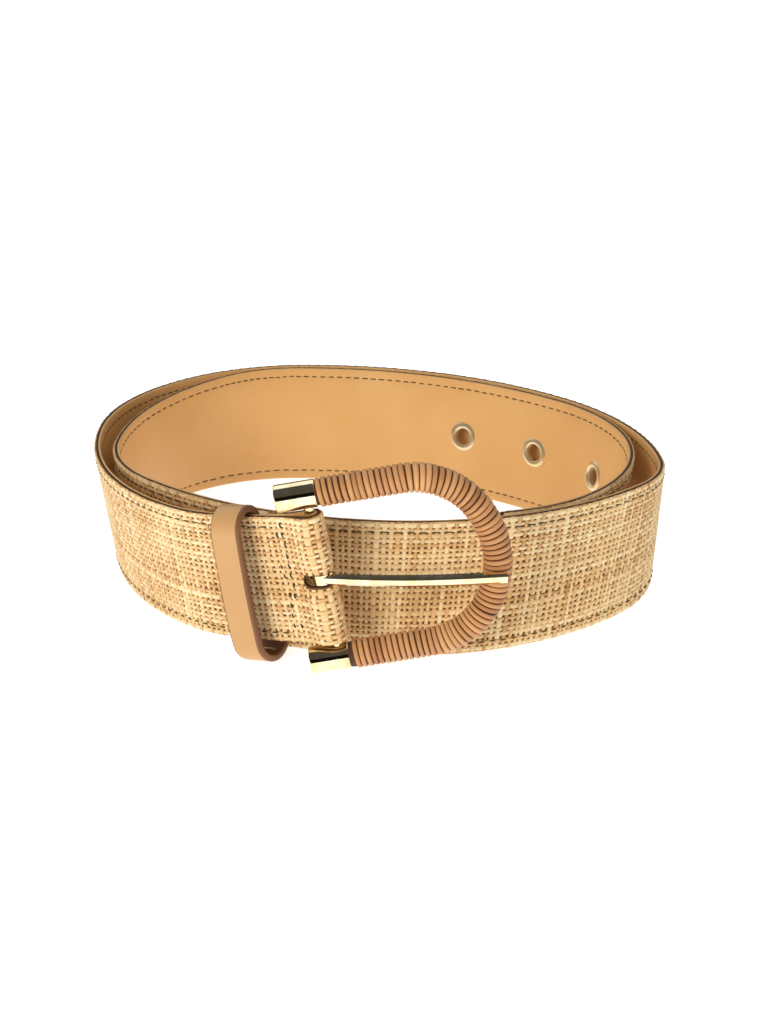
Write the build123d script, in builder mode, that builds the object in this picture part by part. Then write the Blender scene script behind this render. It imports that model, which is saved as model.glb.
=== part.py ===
"""Waist belt, rolled up and standing on its lower edge: a woven straw strap of three layers, wound a little
over two turns, with a wrapped D buckle, a single prong, a keeper loop and five eyelets.

Frame: millimetres, +Z up, origin under the centre of the coil's box, on the surface that the belt stands on.
The strap is described from its leftmost point, the coil start, in two directions. From there the coil winds
clockwise, seen from above, to the tip. The other way, the buckle end bends round to the front, and it leans
outward as one straight band, so it climbs as it goes and the buckle hangs clear of the surface.
"""

from build123d import *

import os
from math import cos, degrees, radians, sin, tan

os.makedirs("parts", exist_ok=True)

# Strap
strap_width = 45.0
lining_thickness = 0.8
core_thickness = 0.9
face_thickness = 0.9
strap_thickness = lining_thickness + core_thickness + face_thickness
half_width = strap_width / 2
half_thickness = strap_thickness / 2

# Coil: each bend turns the strap by the same angle, on one radius at its lower edge and one at its upper edge
coil_start_x = -100.04
coil_start_y = 23.1
lean = 7.5
bend_angle = 45.0
coil_bends = [
    (75, 80), (70, 75), (150, 150), (90, 100), (55, 35), (110, 115), (110, 135),
    (100, 55), (60, 110), (65, 45), (150, 155), (60, 70), (60, 70), (60, 60),
]
coil_height = strap_width * cos(radians(lean))

# Buckle end: radius and angle of its bends, a short stretch that bends in its own plane, a straight stretch
end_bends = [(131.8, 45.0), (59.9, 19.0)]
askew_length = 20.75
askew_angle = 3.0
seam_stretch = 15.0

# Fold round the bar
bar_radius = 1.6
bar_clearance = 0.08
fold_radius = bar_radius + bar_clearance + half_thickness
close_angle = 25.0
ease_radius = 8.0
glue_gap = 0.06
tail_length = 15.0
slot_width = 4.3
slot_reach = 5.0

# Seams
thread_width = 0.6
thread_rise = 0.12
seam_inset = 3.0
fold_seam_inset = 2.0
fold_seam_places = (-9.6, -11.4)

# Eyelets
eyelet_count = 5
eyelet_pitch = 34.5
first_eyelet = 775.0
eyelet_hole_radius = 3.25
barrel_radius = 3.7
flange_radius = 5.75
flange_thickness = 0.6
flange_sink = 0.35
lip_radius = 4.4
hole_margin = 0.25

# Rounded tip
tip_depth = 12.0
tip_radius = (half_width**2 + tip_depth**2) / (2 * tip_depth)

# Buckle
buckle_swing = 26.0
arm_spacing = 58.0
arm_length = 30.6
corner_radius = 25.0
corner_angle = 55.0
core_radius = 3.5
wrap_radius = 4.9
cap_radius = 4.6
cap_length = 13.3
cap_overhang = 9.8
cap_wall = 0.7
cap_edge_radius = 0.5
bar_length = 56.0

# Prong
prong_droop = 7.8
prong_length = 59.3
prong_arch = 0.4
prong_tip_height = 2.25
prong_width = 3.3
prong_height = 2.8
prong_bevel = 0.8
prong_loop_radius = 3.4
prong_clearance = 0.08
prong_gap = 0.3
edge_match = 0.001

# Keeper
keeper_place = 26.0
keeper_band = 10.0
keeper_height = 56.0
keeper_depth = 13.6
keeper_thickness = 1.6
keeper_shift_out = 2.0
keeper_shift_down = 2.1
staple_radius = 0.35
staple_crown = 5.0
staple_height = 9.0

# Where each layer lies, as its distances outside the strap's centre surface
lining_span = (-half_thickness, lining_thickness - half_thickness)
core_span = (lining_span[1], lining_span[1] + core_thickness)
face_span = (core_span[1], half_thickness)


def turned(point, heading, radius, angle):
    """Where a clockwise arc ends, from a point with a heading in degrees."""
    start, end = radians(heading), radians(heading - angle)
    centre = point + Vector(radius * sin(start), -radius * cos(start))
    return centre + Vector(-radius * sin(end), radius * cos(end))


def coil_station(distance):
    """Plane at mid width of the coil, that far from its start: X along the strap, Y up, Z out of its face."""
    low_point = Vector(coil_start_x, coil_start_y)
    high_point = low_point - Vector(coil_height * tan(radians(lean)), 0)
    heading = 90.0
    for low, high in coil_bends:
        middle = (low + high) / 2
        angle = min(degrees(distance / middle), bend_angle)
        low_point = turned(low_point, heading, low, angle)
        high_point = turned(high_point, heading, high, angle)
        heading -= angle
        distance -= radians(angle) * middle
        if distance <= 1e-6:
            break
    along = Vector(cos(radians(heading)), sin(radians(heading)))
    across = high_point + Vector(0, 0, coil_height) - low_point
    middle_point = low_point + across / 2
    return Plane(origin=middle_point, x_dir=along, z_dir=along.cross(across))


# The plane of the buckle end's lower edge: X towards the buckle, Y inward, Z up the leaning strap
lean_plane = Plane(
    origin=(coil_start_x, coil_start_y, 0),
    x_dir=(0, -1, 0),
    z_dir=(-sin(radians(lean)), 0, cos(radians(lean))),
)

with BuildLine():
    end_point, end_heading = Vector(0, 0), Vector(1, 0)
    for radius, angle in end_bends:
        bend = JernArc(start=end_point, tangent=end_heading, radius=radius, arc_size=angle)
        end_point, end_heading = bend @ 1, bend % 1

# The plane of the last stretch: X towards the buckle, Y up the strap, Z out of its face
end_x = lean_plane.from_local_coords(end_heading) - lean_plane.origin
end_plane = Plane(
    origin=lean_plane.from_local_coords(Vector(end_point.X, end_point.Y, half_width)),
    x_dir=end_x,
    z_dir=end_x.cross(lean_plane.z_dir),
)
askew_radius = askew_length / radians(askew_angle)
askew_heading = Vector(cos(radians(askew_angle)), sin(radians(askew_angle)))
askew_end = Vector(askew_radius * askew_heading.Y, askew_radius * (1 - askew_heading.X))
bar_station = askew_end + askew_heading * seam_stretch

# The bar's plane: X towards the buckle, Y inward, Z up the bar, with its origin at the bar's middle
bar_x = end_plane.from_local_coords(askew_heading) - end_plane.origin
bar_plane = Plane(
    origin=end_plane.from_local_coords(Vector(bar_station.X, bar_station.Y, -fold_radius)),
    x_dir=bar_x,
    z_dir=end_plane.z_dir.cross(bar_x),
)

# The buckle's plane, swung inward about the bar: X along the D, Y up the bar, Z out
buckle_x = bar_x * cos(radians(buckle_swing)) + bar_plane.y_dir * sin(radians(buckle_swing))
buckle_plane = Plane(origin=bar_plane.origin, x_dir=buckle_x, z_dir=buckle_x.cross(bar_plane.z_dir))


coil_length = sum(radians(bend_angle) * (low + high) / 2 for low, high in coil_bends)
tip_plane = coil_station(coil_length)

with BuildPart() as tip_cutter:
    with BuildSketch(tip_plane):
        Rectangle(2 * tip_depth, 2 * strap_width)
        with Locations((-tip_radius, 0)):
            Circle(tip_radius, mode=Mode.SUBTRACT)
    extrude(amount=3 * strap_thickness, both=True)


def coil_corners(height):
    """Where each bend of the coil starts at that height, as points on the centre surface with their headings."""
    share = height / strap_width
    point = Vector(coil_start_x - height * sin(radians(lean)), coil_start_y)
    corners, heading = [], 90.0
    for low, high in coil_bends:
        radius = low + share * (high - low)
        corners.append((point, heading, radius))
        point = turned(point, heading, radius, bend_angle)
        heading -= bend_angle
    return corners


def coil_band(low, high, near, far):
    """Band of the coil between two heights up the strap and two distances outside its centre surface."""
    levels = [(height, coil_corners(height)) for height in (low, high)]
    bends = []
    for i in range(len(coil_bends)):
        with BuildPart() as bend:
            for height, corners in levels:
                point, heading, radius = corners[i]
                forward = Vector(cos(radians(heading)), sin(radians(heading)))
                outward = Vector(-forward.Y, forward.X)
                with BuildSketch(Plane.XY.offset(height * cos(radians(lean)))):
                    with BuildLine():
                        inner = JernArc(point + outward * near, forward, radius + near, -bend_angle)
                        outer = JernArc(point + outward * far, forward, radius + far, -bend_angle)
                        Line(inner @ 0, outer @ 0)
                        Line(inner @ 1, outer @ 1)
                    make_face()
            loft(ruled=True)
            if i == len(coil_bends) - 1:
                add(tip_cutter.part, mode=Mode.SUBTRACT)
        bends.append(bend.part)
    with BuildPart() as band:
        add(bends)
    return band.part


def end_bend_band(low, high, near, far):
    """The same band round the buckle end's bends, trimmed level with the surface the belt stands on."""
    with BuildPart() as band:
        with BuildSketch(lean_plane.offset(low)):
            with BuildLine():
                ends = []
                for distance in (near, far):
                    point, heading = Vector(0, -distance), Vector(1, 0)
                    for radius, angle in end_bends:
                        bend = JernArc(start=point, tangent=heading, radius=radius + distance, arc_size=angle)
                        point, heading = bend @ 1, bend % 1
                    ends.append(point)
                Line((0, -near), (0, -far))
                Line(ends[0], ends[1])
            make_face()
        extrude(amount=high - low)
        with BuildSketch(Plane.XY):
            Rectangle(6 * strap_width, 6 * strap_width)
        extrude(amount=-strap_thickness, mode=Mode.SUBTRACT)
    return band.part


def askew_band(low, high, near, far):
    """The same band along the stretch that bends in its own plane."""
    with BuildPart() as band:
        bottom, top = low - half_width, high - half_width
        with BuildSketch(end_plane.offset(near)):
            with BuildLine():
                low_edge = JernArc((0, bottom), (1, 0), askew_radius - bottom, askew_angle)
                high_edge = JernArc((0, top), (1, 0), askew_radius - top, askew_angle)
                Line((0, bottom), (0, top))
                Line(low_edge @ 1, high_edge @ 1)
            make_face()
        extrude(amount=far - near)
    return band.part


def seam_stretch_band(low, high, near, far):
    """The same band along the straight stretch in front of the bar."""
    with BuildPart() as band:
        with BuildSketch(bar_plane.offset(low - half_width)):
            with Locations((-seam_stretch / 2, -fold_radius - (near + far) / 2)):
                Rectangle(seam_stretch, far - near)
        extrude(amount=high - low)
    return band.part


def fold_band(near, far):
    """One layer of the fold: round the bar, back towards the strap, and flat against it up to the tail's end."""
    drop = fold_radius * (1 + cos(radians(close_angle))) - strap_thickness - glue_gap
    ease_drop = ease_radius * (1 - cos(radians(close_angle)))
    slope_length = (drop - ease_drop) / sin(radians(close_angle))
    with BuildPart() as band:
        with BuildSketch(bar_plane.offset(-half_width)):
            with BuildLine():
                starts, ends = [], []
                for distance in (near, far):
                    radius = fold_radius + distance
                    start = Vector(0, -radius)
                    turn = JernArc(start, (1, 0), radius, 180 + close_angle)
                    slope = PolarLine(turn @ 1, slope_length, direction=turn % 1)
                    ease = JernArc(slope @ 1, slope % 1, ease_radius - distance, -close_angle)
                    tail_end = Vector(-tail_length, (ease @ 1).Y)
                    Line(ease @ 1, tail_end)
                    starts.append(start)
                    ends.append(tail_end)
                Line(starts[0], starts[1])
                Line(ends[0], ends[1])
            make_face()
        extrude(amount=strap_width)
    return band.part


def open_band(low, high, near, far):
    """The bands that make up the strap between two heights, from the tip to where the fold's tail ends."""
    return [make(low, high, near, far) for make in (coil_band, end_bend_band, askew_band)]


slot_plane = Plane(origin=bar_plane.origin, x_dir=bar_plane.x_dir, z_dir=-bar_plane.y_dir)
seat = half_thickness - flange_sink
eyelet_planes = [coil_station(first_eyelet + i * eyelet_pitch) for i in range(eyelet_count)]


def strap_layer(span):
    """One layer of the strap, with its fold, prong slot, eyelet holes and rounded tip."""
    bands = open_band(0, strap_width, *span)
    bands += [seam_stretch_band(0, strap_width, *span), fold_band(*span)]
    with BuildPart() as layer:
        add(bands)
        with BuildSketch(slot_plane):
            with Locations((fold_radius, 0)):
                SlotOverall(2 * (slot_reach + fold_radius), slot_width)
        extrude(amount=4 * fold_radius, both=True, mode=Mode.SUBTRACT)
        for plane in eyelet_planes:
            with BuildSketch(plane):
                Circle(barrel_radius)
            extrude(amount=half_thickness + hole_margin, both=True, mode=Mode.SUBTRACT)
            for side in (1, -1):
                with BuildSketch(plane.offset(side * seat)):
                    Circle(flange_radius)
                extrude(amount=side * flange_thickness, mode=Mode.SUBTRACT)
    return layer.part


strap_layers = {
    "strap_lining": strap_layer(lining_span),
    "strap_core": strap_layer(core_span),
    "strap_face": strap_layer(face_span),
}

# Edge seams: a thread row near each edge, on the face and on the lining
thread_rows = {}
for side, span in (
    ("face", (half_thickness, half_thickness + thread_rise)),
    ("lining", (-half_thickness - thread_rise, -half_thickness)),
):
    for edge, low in (("lower", seam_inset), ("upper", strap_width - seam_inset - thread_width)):
        bands = open_band(low, low + thread_width, *span)
        with BuildPart() as row:
            add(bands)
        thread_rows[f"thread_{side}_{edge}"] = row.part

# Double seam that closes the fold, in front and behind
for side, depth in (
    ("front", -fold_radius - half_thickness - thread_rise),
    ("back", -fold_radius + strap_thickness + glue_gap + half_thickness),
):
    with BuildPart() as row:
        with BuildSketch(bar_plane.offset(fold_seam_inset - half_width)):
            for place in fold_seam_places:
                with Locations((place, depth + thread_rise / 2)):
                    Rectangle(thread_width, thread_rise)
        extrude(amount=strap_width - 2 * fold_seam_inset)
    thread_rows[f"fold_seam_{side}"] = row.part

# Eyelets and their washers
eyelets, washers = [], []
for plane in eyelet_planes:
    lip_top = -seat - flange_thickness
    lip_bottom = lip_top - flange_thickness
    section_plane = Plane(origin=plane.origin, x_dir=plane.x_dir, z_dir=-plane.y_dir)
    with BuildPart() as eyelet:
        with BuildSketch(section_plane):
            with BuildLine():
                Polyline(
                    (eyelet_hole_radius, seat + flange_thickness),
                    (flange_radius, seat + flange_thickness),
                    (flange_radius, seat),
                    (barrel_radius, seat),
                    (barrel_radius, lip_top),
                    (lip_radius, lip_top),
                    (lip_radius, lip_bottom),
                    (eyelet_hole_radius, lip_bottom),
                    close=True,
                )
            make_face()
        revolve(axis=Axis(plane.origin, plane.z_dir))
    eyelets.append(eyelet.part)
    with BuildPart() as washer:
        with BuildSketch(plane.offset(lip_top)):
            Circle(flange_radius)
            Circle(barrel_radius, mode=Mode.SUBTRACT)
        extrude(amount=flange_thickness)
    washers.append(washer.part)

# Buckle: a D shaped rod, with straight arms, rounded corners and a flatter end
half_spacing = arm_spacing / 2
end_angle = 90 - corner_angle
end_radius = (half_spacing - corner_radius * (1 - cos(radians(corner_angle)))) / sin(radians(end_angle))


def d_route(start):
    """Centre line of the D, from that far along one arm, round the end, and back along the other."""
    with BuildLine(buckle_plane) as route:
        arm = Line((start, half_spacing), (arm_length, half_spacing))
        corner = JernArc(arm @ 1, (1, 0), corner_radius, -corner_angle)
        end = JernArc(corner @ 1, corner % 1, end_radius, -2 * end_angle)
        far_corner = JernArc(end @ 1, end % 1, corner_radius, -corner_angle)
        Line(far_corner @ 1, (start, -half_spacing))
    return route.line


rod_start = -cap_overhang + cap_wall
wrap_start = cap_length - cap_overhang
arm_direction = buckle_plane.x_dir


def arm_point(distance, side):
    """Point on an arm's centre line; side is 1 for the upper arm and -1 for the lower."""
    return buckle_plane.from_local_coords(Vector(distance, side * half_spacing))


with BuildPart() as buckle_bar:
    with BuildSketch(bar_plane.offset(-bar_length / 2)):
        Circle(bar_radius)
    extrude(amount=bar_length)

core_route = d_route(rod_start)
with BuildPart() as frame_core:
    with BuildSketch(Plane(arm_point(rod_start, 1), z_dir=arm_direction)):
        Circle(core_radius)
    sweep(path=core_route)
    add(buckle_bar.part, mode=Mode.SUBTRACT)

wrap_route = d_route(wrap_start)
with BuildPart() as frame_wrap:
    with BuildSketch(Plane(arm_point(wrap_start, 1), z_dir=arm_direction)):
        Circle(wrap_radius)
        Circle(core_radius, mode=Mode.SUBTRACT)
    sweep(path=wrap_route)

caps = {}
for name, side in (("cap_upper", 1), ("cap_lower", -1)):
    with BuildPart() as cap:
        with BuildSketch(Plane(arm_point(-cap_overhang, side), z_dir=arm_direction)):
            Circle(cap_radius)
        extrude(amount=cap_length)
        fillet(cap.edges().filter_by(GeomType.CIRCLE), radius=cap_edge_radius)
        with BuildSketch(Plane(arm_point(rod_start, side), z_dir=arm_direction)):
            Circle(core_radius)
        extrude(amount=cap_length, mode=Mode.SUBTRACT)
        add(buckle_bar.part, mode=Mode.SUBTRACT)
    caps[name] = cap.part

# Prong: a loop round the bar and a long, slightly arched body that rests on the end of the D
droop = radians(prong_droop)
prong_x = buckle_plane.x_dir * cos(droop) - buckle_plane.y_dir * sin(droop)
prong_side_plane = Plane(origin=bar_plane.origin, x_dir=prong_x, z_dir=prong_x.cross(buckle_plane.z_dir))
prong_rest = wrap_radius + prong_gap
rest_place = prong_length - wrap_radius

with BuildPart() as prong:
    with BuildSketch(prong_side_plane):
        with BuildLine():
            under = Spline(
                (0, bar_radius + prong_clearance),
                (rest_place / 2, prong_rest - prong_arch),
                (prong_length, prong_rest),
                tangents=[(1, 0.12), (1, -0.02)],
            )
            over = Spline(
                (0, prong_loop_radius),
                (rest_place / 2, prong_rest - prong_arch + prong_height),
                (prong_length, prong_rest + prong_tip_height),
                tangents=[(1, 0.2), (1, -0.06)],
            )
            Line(under @ 0, over @ 0)
            Line(under @ 1, over @ 1)
        make_face()
    extrude(amount=prong_width / 2, both=True)
    # Its outer long edges are bevelled from end to end
    top_edges = [edge for edge in prong.edges() if abs(edge.length - over.length) < edge_match]
    chamfer(top_edges, prong_bevel)
    with BuildSketch(bar_plane.offset(-prong_width / 2)):
        Circle(prong_loop_radius)
    extrude(amount=prong_width)
    with BuildSketch(bar_plane.offset(-prong_width)):
        Circle(bar_radius + prong_clearance)
    extrude(amount=2 * prong_width, mode=Mode.SUBTRACT)

# Keeper: a long loop round the strap, with room for the tip in front of it
keeper_along = keeper_place - seam_stretch
keeper_angle = askew_angle * (1 - keeper_along / askew_length)
keeper_heading = Vector(cos(radians(keeper_angle)), sin(radians(keeper_angle)))
keeper_centre = Vector(
    askew_radius * sin(radians(keeper_angle)),
    askew_radius * (1 - cos(radians(keeper_angle))) - keeper_shift_down,
    keeper_shift_out,
)
keeper_z = end_plane.from_local_coords(keeper_heading) - end_plane.origin
keeper_plane = Plane(
    origin=end_plane.from_local_coords(keeper_centre), x_dir=end_plane.z_dir, z_dir=keeper_z
)

with BuildPart() as keeper_staple:
    inner_wall = -keeper_depth / 2 + keeper_thickness
    staple_y = keeper_height / 2 - staple_height
    with BuildLine(keeper_plane):
        route = Polyline(
            (inner_wall - keeper_thickness, staple_y - staple_crown / 2),
            (inner_wall + staple_radius, staple_y - staple_crown / 2),
            (inner_wall + staple_radius, staple_y + staple_crown / 2),
            (inner_wall - keeper_thickness, staple_y + staple_crown / 2),
        )
    with BuildSketch(Plane(route @ 0, z_dir=keeper_plane.x_dir)):
        Circle(staple_radius)
    sweep(transition=Transition.ROUND)

with BuildPart() as keeper_loop:
    with BuildSketch(keeper_plane.offset(-keeper_band / 2)):
        SlotOverall(keeper_height, keeper_depth, rotation=90)
        SlotOverall(
            keeper_height - 2 * keeper_thickness,
            keeper_depth - 2 * keeper_thickness,
            rotation=90,
            mode=Mode.SUBTRACT,
        )
    extrude(amount=keeper_band)
    add(keeper_staple.part, mode=Mode.SUBTRACT)

nodes = {
    **strap_layers,
    **thread_rows,
    **{f"eyelet_{i + 1}": part for i, part in enumerate(eyelets)},
    **{f"eyelet_washer_{i + 1}": part for i, part in enumerate(washers)},
    "buckle_bar": buckle_bar.part,
    "frame_core": frame_core.part,
    "frame_wrap": frame_wrap.part,
    **caps,
    "prong": prong.part,
    "keeper_loop": keeper_loop.part,
    "keeper_staple": keeper_staple.part,
}
for name, part in nodes.items():
    part.label = name
    export_step(part, f"parts/{name}.step")
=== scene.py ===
"""Looks of the rolled waist belt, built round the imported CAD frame.

The strap's run, in millimetres, repeats the dimensions of the CAD model, so a place on the strap is given as
a distance from the bar, a height above the lower edge and a rise out of the centre surface."""

import math

import bmesh
import bpy
import numpy as np
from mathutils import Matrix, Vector


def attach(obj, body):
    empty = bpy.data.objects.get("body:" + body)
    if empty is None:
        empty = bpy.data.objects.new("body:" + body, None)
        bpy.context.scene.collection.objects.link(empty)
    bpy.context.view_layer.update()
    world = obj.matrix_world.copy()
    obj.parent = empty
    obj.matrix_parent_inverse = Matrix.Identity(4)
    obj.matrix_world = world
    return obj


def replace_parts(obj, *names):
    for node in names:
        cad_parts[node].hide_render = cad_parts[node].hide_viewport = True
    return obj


MM = 0.001
rng = np.random.default_rng(7)

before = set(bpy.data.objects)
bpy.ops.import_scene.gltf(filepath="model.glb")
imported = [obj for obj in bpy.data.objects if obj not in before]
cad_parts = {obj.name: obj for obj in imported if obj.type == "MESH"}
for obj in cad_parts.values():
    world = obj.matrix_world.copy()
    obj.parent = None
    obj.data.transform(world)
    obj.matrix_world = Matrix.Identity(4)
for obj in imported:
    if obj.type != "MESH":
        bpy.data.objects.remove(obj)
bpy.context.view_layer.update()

# ---------------------------------------------------------------- the strap's run, in millimetres
WIDTH, HALF, THICK = 45.0, 22.5, 2.6
LEAN = math.radians(7.5)
COIL_START = np.array([-100.04, 23.1, 0.0])
COIL_BENDS = [
    (75, 80), (70, 75), (150, 150), (90, 100), (55, 35), (110, 115), (110, 135),
    (100, 55), (60, 110), (65, 45), (150, 155), (60, 70), (60, 70), (60, 60),
]
END_BENDS = [(131.8, 45.0), (59.9, 19.0)]
ASKEW_LENGTH, ASKEW_ANGLE, SEAM_STRETCH = 20.75, 3.0, 15.0
FOLD_R = 1.6 + 0.08 + THICK / 2
CLOSE, EASE_R, GLUE, TAIL = 25.0, 8.0, 0.06, 15.0


def unit(v):
    v = np.asarray(v, float)
    return v / np.linalg.norm(v)


def rows(*vectors):
    return np.array(vectors, float)


# Axes of the leaning buckle end, of its last stretch, and of the bar
lean_axes = rows((0, -1, 0), (math.cos(LEAN), 0, math.sin(LEAN)), (-math.sin(LEAN), 0, math.cos(LEAN)))


def end_bend_points():
    """Places and headings round the buckle end's bends, in the leaning plane."""
    out, p, h = [], np.zeros(2), 0.0
    for radius, angle in END_BENDS:
        centre = p + radius * np.array([-math.sin(h), math.cos(h)])
        for t in np.linspace(0, 1, 25)[0 if not out else 1:]:
            a = h + math.radians(angle) * t
            out.append((centre + radius * np.array([math.sin(a), -math.cos(a)]), a))
        h += math.radians(angle)
        p = out[-1][0]
    return out


end_points = end_bend_points()
end_point, end_angle = end_points[-1]
end_x = math.cos(end_angle) * lean_axes[0] + math.sin(end_angle) * lean_axes[1]
end_y = lean_axes[2]
end_z = np.cross(end_x, end_y)
end_axes = rows(end_x, end_y, end_z)
end_origin = COIL_START + end_point @ lean_axes[:2] + HALF * lean_axes[2]
ASKEW_R = ASKEW_LENGTH / math.radians(ASKEW_ANGLE)
askew = math.radians(ASKEW_ANGLE)
bar_x = math.cos(askew) * end_x + math.sin(askew) * end_y
bar_z = np.cross(end_z, bar_x)
bar_axes = rows(bar_x, -end_z, bar_z)
bar_station = ASKEW_R * np.array([math.sin(askew), 1 - math.cos(askew)]) + SEAM_STRETCH * np.array(
    [math.cos(askew), math.sin(askew)]
)
bar_origin = end_origin + bar_station @ end_axes[:2] - FOLD_R * end_z


def strap_run():
    """Lower edge, upper edge and outward direction of the centre surface, from the fold's tail to the tip."""
    run = []

    def bar_row(x, y, heading):
        centre = bar_origin + x * bar_axes[0] + y * bar_axes[1]
        normal = math.sin(heading) * bar_axes[0] - math.cos(heading) * bar_axes[1]
        run.append((centre - HALF * bar_axes[2], centre + HALF * bar_axes[2], normal))

    close = math.radians(CLOSE)
    drop = FOLD_R * (1 + math.cos(close)) - THICK - GLUE
    slope = (drop - EASE_R * (1 - math.cos(close))) / math.sin(close)
    turn_end = math.pi + close
    p = FOLD_R * np.array([math.sin(turn_end), -math.cos(turn_end)])
    q = p + slope * np.array([math.cos(turn_end), math.sin(turn_end)])
    centre = q + EASE_R * np.array([math.sin(turn_end), -math.cos(turn_end)])
    ease_y = (centre + EASE_R * np.array([0, -1]))[1]
    ease_x = centre[0]
    for x in np.linspace(-TAIL, ease_x, 8)[:-1]:
        bar_row(x, ease_y, math.pi)
    for a in np.linspace(math.pi, turn_end, 8)[:-1]:
        bar_row(centre[0] - EASE_R * math.sin(a), centre[1] + EASE_R * math.cos(a), a)
    bar_row(q[0], q[1], turn_end)
    for a in np.linspace(turn_end, 0, 40):
        bar_row(FOLD_R * math.sin(a), -FOLD_R * math.cos(a), a)
    fold_rows = len(run)
    for x in np.linspace(0, -SEAM_STRETCH, 11)[1:]:
        bar_row(x, -FOLD_R, 0)
    for a in np.linspace(askew, 0, 9)[1:]:
        foot = np.array([0, ASKEW_R])
        way = np.array([math.sin(a), -math.cos(a)])
        low = end_origin + (foot + (ASKEW_R + HALF) * way) @ end_axes[:2]
        high = end_origin + (foot + (ASKEW_R - HALF) * way) @ end_axes[:2]
        run.append((low, high, end_z))
    for point, a in end_points[::-1][1:]:
        low = COIL_START + point @ lean_axes[:2]
        run.append((low, low + WIDTH * lean_axes[2], math.sin(a) * lean_axes[0] - math.cos(a) * lean_axes[1]))
    height = np.array([0, 0, WIDTH * math.cos(LEAN)])
    low, high, h = COIL_START, COIL_START - np.array([height[2] * math.tan(LEAN), 0, 0]), math.pi / 2
    for r_low, r_high in COIL_BENDS:
        for t in np.linspace(0, 1, 17)[1:]:
            a = h - math.pi / 4 * t
            step = np.array([math.sin(h) - math.sin(a), math.cos(a) - math.cos(h), 0])
            normal = np.array([-math.sin(a), math.cos(a), 0])
            run.append((low + r_low * step, high + r_high * step + height, normal))
        low, high, h = low + r_low * step, high + r_high * step, h - math.pi / 4
    return np.array(run), fold_rows


RUN, fold_rows = strap_run()
middle = (RUN[:, 0] + RUN[:, 1]) / 2
RUN_S = np.concatenate([[0], np.cumsum(np.linalg.norm(np.diff(middle, axis=0), axis=1))])
RUN_S -= RUN_S[fold_rows - 1]
S_START, S_END = RUN_S[0], RUN_S[-1]
COIL_AT = RUN_S[fold_rows - 1 + 10 + 8 + len(end_points) - 1]
TIP_DEPTH = 12.0
TIP_R = (HALF**2 + TIP_DEPTH**2) / (2 * TIP_DEPTH)


def strap(s, v, n):
    """Points on the strap, in metres: s along from the bar, v up from the lower edge, n out of the centre."""
    s, v, n = np.broadcast_arrays(np.asarray(s, float), np.asarray(v, float), np.asarray(n, float))
    flat = s.ravel()
    low, high, out = (
        np.stack([np.interp(flat, RUN_S, RUN[:, k, c]) for c in range(3)], -1).reshape(s.shape + (3,))
        for k in range(3)
    )
    share = (v / WIDTH)[..., None]
    return (low * (1 - share) + high * share + out * n[..., None]) * MM


def tip_limit(v):
    """How far the strap reaches at that height, with its rounded tip."""
    return S_END - TIP_R + np.sqrt(np.maximum(TIP_R**2 - (np.asarray(v) - HALF) ** 2, 0))


# ---------------------------------------------------------------- materials
def material(name, color, rough, metallic=0.0):
    mat = bpy.data.materials.new(name)
    mat.use_nodes = True
    shader = mat.node_tree.nodes["Principled BSDF"]
    shader.inputs["Base Color"].default_value = (*color, 1)
    shader.inputs["Roughness"].default_value = rough
    shader.inputs["Metallic"].default_value = metallic
    return mat, mat.node_tree, shader


def node(tree, kind, **values):
    n = tree.nodes.new(kind)
    for key, value in values.items():
        if key in n.inputs:
            n.inputs[key].default_value = value
        else:
            setattr(n, key, value)
    return n


def coordinates(tree, source, scale):
    coords = node(tree, "ShaderNodeTexCoord")
    mapping = node(tree, "ShaderNodeMapping", Scale=scale)
    tree.links.new(coords.outputs[source], mapping.inputs["Vector"])
    return mapping.outputs["Vector"]


def noise(tree, vector, scale, detail=4.0, roughness=0.55):
    n = node(tree, "ShaderNodeTexNoise", Scale=scale, Detail=detail, Roughness=roughness)
    tree.links.new(vector, n.inputs["Vector"])
    return n.outputs["Fac"]


def ramp(tree, factor, stops):
    n = node(tree, "ShaderNodeValToRGB")
    elements = n.color_ramp.elements
    while len(elements) < len(stops):
        elements.new(0.5)
    for element, (place, color) in zip(elements, stops):
        element.position = place
        element.color = (*color, 1)
    tree.links.new(factor, n.inputs["Fac"])
    return n.outputs["Color"]


def bump(tree, shader, height, strength, distance):
    n = node(tree, "ShaderNodeBump", Strength=strength, Distance=distance)
    tree.links.new(height, n.inputs["Height"])
    tree.links.new(n.outputs["Normal"], shader.inputs["Normal"])


def combine(tree, operation, a, b):
    n = node(tree, "ShaderNodeMath", operation=operation)
    for socket, value in zip(n.inputs, (a, b)):
        if isinstance(value, (int, float)):
            socket.default_value = value
        else:
            tree.links.new(value, socket)
    return n.outputs[0]


def multiply_colors(tree, a, b):
    n = node(tree, "ShaderNodeMixRGB", blend_type="MULTIPLY", Fac=1.0)
    tree.links.new(a, n.inputs[1])
    tree.links.new(b, n.inputs[2])
    return n.outputs[0]


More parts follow.
